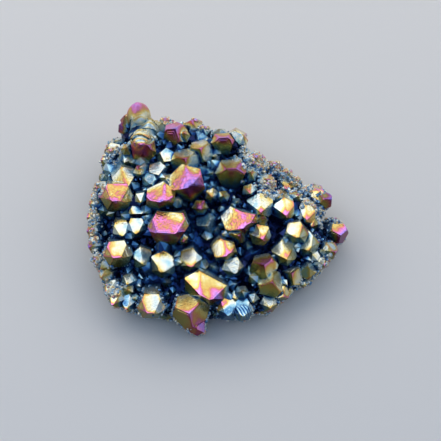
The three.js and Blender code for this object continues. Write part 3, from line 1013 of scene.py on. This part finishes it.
    def bases(self, axes: Array) -> tuple[Array, Array]:
        """Find two directions square to each axis, turned about it at random.

        Args:
            axes: Unit directions.

        Returns:
            The two directions, as rows.
        """
        turns = self.random.uniform(0, 2 * math.pi, len(axes))
        helper = np.where(np.abs(axes[:, 2:]) < 0.9, [[0.0, 0.0, 1.0]], [[1.0, 0.0, 0.0]])
        side = unit(np.cross(helper, axes))
        front = np.cross(axes, side)
        cos, sin = np.cos(turns)[:, None], np.sin(turns)[:, None]
        return side * cos + front * sin, front * cos - side * sin

    def point_shape(self) -> tuple[Array, Array]:
        """Model one quartz point: a six-sided prism under an uneven six-sided tip.

        Returns:
            Its corners, one unit wide and high with its foot sunk in, and its triangles.
        """
        point = bmesh.new()
        bmesh.ops.create_cone(point, cap_ends=True, segments=6, radius1=0.52, radius2=0.5, depth=0.9)
        bmesh.ops.translate(point, verts=point.verts, vec=(0, 0, 0.05))
        top = max(point.faces, key=lambda f: f.calc_center_median().z)
        tip = bmesh.ops.poke(point, faces=[top])["verts"][0]
        tip.co += Vector((*self.random.uniform(-0.2, 0.2, 2), 0.5))
        for vert in point.verts:
            if vert is not tip and vert.co.z > 0:
                vert.co.z += self.random.uniform(-0.14, 0.1)
        bmesh.ops.triangulate(point, faces=point.faces)
        corners = np.array([v.co[:] for v in point.verts])
        sides = np.array([[v.index for v in f.verts] for f in point.faces])
        point.free()
        return corners, sides

    @staticmethod
    def joined(points: Array, faces: Array) -> Mesh:
        """Join copies of the points into one mesh.

        Args:
            points: All corners, as rows in metres.
            faces: All triangles, as rows of corner numbers.

        Returns:
            The mesh.
        """
        mesh = bpy.data.meshes.new("druse")
        mesh.vertices.add(len(points))
        mesh.vertices.foreach_set("co", points.astype(np.float32).ravel())
        mesh.loops.add(faces.size)
        mesh.loops.foreach_set("vertex_index", faces.astype(np.int32).ravel())
        mesh.polygons.add(len(faces))
        mesh.polygons.foreach_set("loop_start", np.arange(0, faces.size, 3, dtype=np.int32))
        mesh.update(calc_edges=True)
        mesh.validate()
        return mesh


@dataclass
class Studio:
    """A pale floor, soft lights and the camera."""

    floor_colour: str = "#e9dfce"
    floor_half: float = 1.5
    sky_colour: str = "#8cabda"
    sky_strength: float = 0.82
    distance: float = 0.45
    view_width: float = 0.1323
    aim: tuple[float, float, float] = (0.87 * MM, -1.42 * MM, 13.3 * MM)

    def build(self) -> None:
        """Set up the studio."""
        self.floor()
        self.world()
        self.lamp("back", (0.0, 0.37, 0.41), (1.40, 0.40), 2.25, "#fffaf2")
        self.lamp("left", (-0.50, 0.06, 0.46), (0.60, 0.50), 0.95, "#fbfaff")
        self.lamp("right", (0.52, -0.02, 0.46), (0.45, 0.45), 0.48, "#fff8f0")
        self.camera()

    def floor(self) -> None:
        """Lay the floor: pale matt card, with no gloss to mirror the cluster."""
        plane = bmesh.new()
        bmesh.ops.create_grid(plane, x_segments=8, y_segments=8, size=self.floor_half)
        mesh = bpy.data.meshes.new("floor")
        plane.to_mesh(mesh)
        plane.free()
        floor = bpy.data.objects.new("floor", mesh)
        bpy.context.collection.objects.link(floor)
        card = bpy.data.materials.new("matt_card")
        card.use_nodes = True
        shader = card.node_tree.nodes["Principled BSDF"]
        shader.inputs["Base Color"].default_value = linear(self.floor_colour)
        shader.inputs["Roughness"].default_value = 0.9
        mesh.materials.append(card)

    def world(self) -> None:
        """Light everything faintly from all round."""
        world = bpy.data.worlds.new("studio")
        bpy.context.scene.world = world
        world.use_nodes = True
        back = world.node_tree.nodes["Background"]
        back.inputs["Color"].default_value = linear(self.sky_colour)
        back.inputs["Strength"].default_value = self.sky_strength

    def lamp(
        self, name: str, place: tuple[float, ...], size: tuple[float, float], watts: float, colour: str
    ) -> None:
        """Hang a soft box aimed at the cluster.

        Args:
            name: Its name.
            place: Where it hangs, in metres.
            size: Its width and height.
            watts: Its power.
            colour: Its colour as sRGB hex.
        """
        light = bpy.data.lights.new(name, "AREA")
        light.shape = "RECTANGLE"
        light.size, light.size_y = size
        light.energy = watts
        light.color = linear(colour)[:3]
        lamp = bpy.data.objects.new(name, light)
        lamp.location = place
        lamp.rotation_euler = (Vector(self.aim) - Vector(place)).to_track_quat("-Z", "Y").to_euler()
        bpy.context.collection.objects.link(lamp)

    def camera(self) -> None:
        """Set the camera square to the show face."""
        camera = bpy.data.cameras.new("camera")
        camera.sensor_width = 36.0
        camera.lens = camera.sensor_width * self.distance / self.view_width
        camera.clip_start = 0.01
        seen = bpy.data.objects.new("camera", camera)
        back = Vector(SHOW_NORMAL)
        seen.location = Vector(self.aim) + back * self.distance
        seen.rotation_euler = (-back).to_track_quat("-Z", "Y").to_euler()
        bpy.context.collection.objects.link(seen)
        bpy.context.scene.camera = seen
        bpy.context.scene.view_settings.view_transform = "Standard"


CRUSTED = tuple(
    Region(*place)
    for place in (
        (0.64, 0.72, 0.09), (0.72, 0.72, 0.08), (0.80, 0.64, 0.08), (0.87, 0.54, 0.07),
        (0.70, 0.58, 0.06), (0.33, 0.93, 0.05), (0.45, 0.90, 0.05), (0.10, 0.78, 0.05),
        (0.03, 0.60, 0.05), (0.02, 0.50, 0.05), (0.02, 0.41, 0.05), (0.04, 0.31, 0.06),
        (0.09, 0.18, 0.07), (0.92, 0.28, 0.06),
    )
)
DRUSE_ORDER = (
    (0.00, "#101a3a"), (0.12, "#24487e"), (0.24, "#5c94bc"), (0.36, "#b4d0d4"),
    (0.48, "#eeeee2"), (0.60, "#f6ecc8"), (0.72, "#e8c478"), (0.82, "#d8906c"),
    (0.91, "#ee9cc4"), (1.00, "#c8b4ea"),
)
# The druse's lee tones, darker: a thinner film and painted shade on faces turned from the vapour and the
# lamps.
DRUSE_LEE_SHADE_ORDER = (
    (0.00, "#121c32"), (0.20, "#3c5a78"), (0.40, "#7a929c"), (0.60, "#b0b0a4"),
    (0.80, "#a08c68"), (1.00, "#986c78"),
)
COATS = (
    Coat(0.194, 0.966, 5.3, 0.79, 0.6, 0.06, rounded=30, frost=0.8),
    Coat(0.138, 0.950, 3.3, 0.62, 0.3, frost=0.6),
    Coat(0.118, 0.921, 3.5, 0.76, 0.4),
    Coat(0.295, 0.902, 4.8, 0.52, 0.3, frost=0.8),
    Coat(0.398, 0.898, 4.9, 0.66, 0.3),
    Coat(0.242, 0.896, 4.9, 0.64, 0.3, frost=0.9),
    Coat(0.103, 0.856, 4.0, 0.50, 0.3),
    Coat(0.509, 0.845, 3.9, 0.44, 0.3),
    Coat(0.209, 0.843, 7.2, 0.56, 0.3, 0.06, lines=Lines.ARCS, rounded=18, frost=0.5),
    Coat(0.567, 0.822, 4.4, 0.47, 0.3, -0.04),
    Coat(0.341, 0.808, 6.0, 0.80, 0.3, -0.16),
    Coat(0.519, 0.759, 5.3, 0.65, 0.5),
    Coat(0.220, 0.725, 6.7, 0.80, 0.2, -0.12),
    Coat(0.436, 0.717, 6.5, 0.60, 0.2, -0.14),
    Coat(0.095, 0.704, 4.8, 0.42, 0.1),
    Coat(0.300, 0.673, 4.9, 0.46, 0.2),
    Coat(0.379, 0.660, 7.3, 0.58, 0.3, -0.12),
    Coat(0.762, 0.620, 4.9, 0.66, 0.5),
    Coat(0.279, 0.615, 5.1, 0.50, 0.3),
    Coat(0.550, 0.608, 7.5, 0.64, 0.5, 0.04),
    Coat(0.156, 0.593, 6.3, 0.67, 0.3, -0.18),
    Coat(0.254, 0.577, 5.9, 0.46, 0.3),
    Coat(0.883, 0.571, 4.0, 0.55, 0.3),
    Coat(0.933, 0.561, 3.9, 0.74, 0.4),
    Coat(0.388, 0.530, 8.9, 0.86, 0.8, 0.04),
    Coat(0.120, 0.501, 7.7, 0.67, 0.9),
    Coat(0.290, 0.475, 7.7, 0.73, 0.6, -0.12),
    Coat(0.835, 0.464, 4.9, 0.58, 0.2, 0.28),
    Coat(0.661, 0.463, 6.3, 0.48, 0.3, 0.20),
    Coat(0.754, 0.457, 5.3, 0.54, 0.3, 0.12),
    Coat(0.966, 0.420, 5.1, 0.80, 0.2, 0.24),
    Coat(0.196, 0.380, 4.8, 0.52, 0.2, -0.08),
    Coat(0.144, 0.380, 4.8, 0.46, 0.0, -0.06),
    Coat(0.595, 0.376, 8.7, 0.74, 0.8, 0.14),
    Coat(0.795, 0.353, 5.5, 0.58, 0.2, 0.26),
    Coat(0.663, 0.341, 4.9, 0.54, 0.4, 0.10),
    Coat(0.312, 0.337, 8.6, 0.78, 0.7, -0.03),
    Coat(0.835, 0.323, 6.1, 0.47, 0.0, 0.10),
    Coat(0.753, 0.278, 5.8, 0.55, 0.1, 0.14),
    Coat(0.532, 0.273, 6.1, 0.64, 0.2, 0.06),
    Coat(0.128, 0.266, 6.9, 0.54, 0.3, -0.12),
    Coat(0.221, 0.256, 4.9, 0.45, 0.1, -0.04),
    Coat(0.673, 0.235, 6.9, 0.75, 0.2, 0.04),
    Coat(0.403, 0.232, 7.0, 0.45, 0.0, -0.04),
    Coat(0.777, 0.230, 5.6, 0.54, 0.2),
    Coat(0.292, 0.216, 7.0, 0.48, 0.0, -0.10),
    Coat(0.565, 0.214, 6.0, 0.44, 0.5),
    Coat(0.701, 0.172, 6.7, 0.58, 0.3, 0.04),
    Coat(0.436, 0.110, 13.0, 0.64, 0.0, -0.04),
    Coat(0.540, 0.055, 5.3, 0.27, 0.7),
    Coat(0.595, 0.052, 5.1, 0.28, 0.1, lines=Lines.SLANTED),
    Coat(0.254, 0.048, 6.3, 0.50, 0.2, -0.12),
    Coat(0.398, 0.040, 8.8, 0.64, 0.2, 0.08),
    Coat(0.506, 0.121, 3.8, 0.84, 0.3),
    Coat(0.440, 0.030, 3.4, 0.76, 0.4),
    Coat(0.211, 0.772, 3.8, 0.56, 0.3, lines=Lines.ARCS, rounded=5, frost=0.4),
)


def main() -> None:
    """Build the cluster's looks in order."""
    logging.basicConfig(level=logging.INFO, format="%(name)s %(message)s")
    film = AuraFilm()
    # A growth of tiny points scatters light between them, so its skin looks paler and softer.
    softer = {"roughness": 0.34, "blotch_mm": 1.4, "spread": 0.2, "metal": 0.45}
    frost = AuraFilm("titanium_film_on_druse", DRUSE_ORDER, DRUSE_LEE_SHADE_ORDER, **softer)
    for finish in (film, frost):
        finish.material()
    skin, sky = Cluster(film, COATS).build()
    for growth in (
        Druse("bed_points", Place.BED, film, 560, (1.1, 4.2), (0.7, 1.2), (0.0, 0.24), 0.35, 14, 1.3),
        Druse("bed_druse", Place.BED, film, 2200, (0.25, 0.9), (0.9, 1.7), (-0.05, 0.15), 0.45, 11, 0.8),
        Druse("side_druse", Place.SIDE, frost, 8500, (0.3, 1.05), (0.6, 1.1), (0.15, 0.6), 0.4, 12),
        Druse("shoulder_crust", Place.CRUST, frost, 9000, (0.34, 1.4), (0.5, 0.9), (0.34, 0.78), 0.45, 13),
    ):
        growth.build(skin, sky)
    Studio().build()


if __name__ == "__main__":
    main()
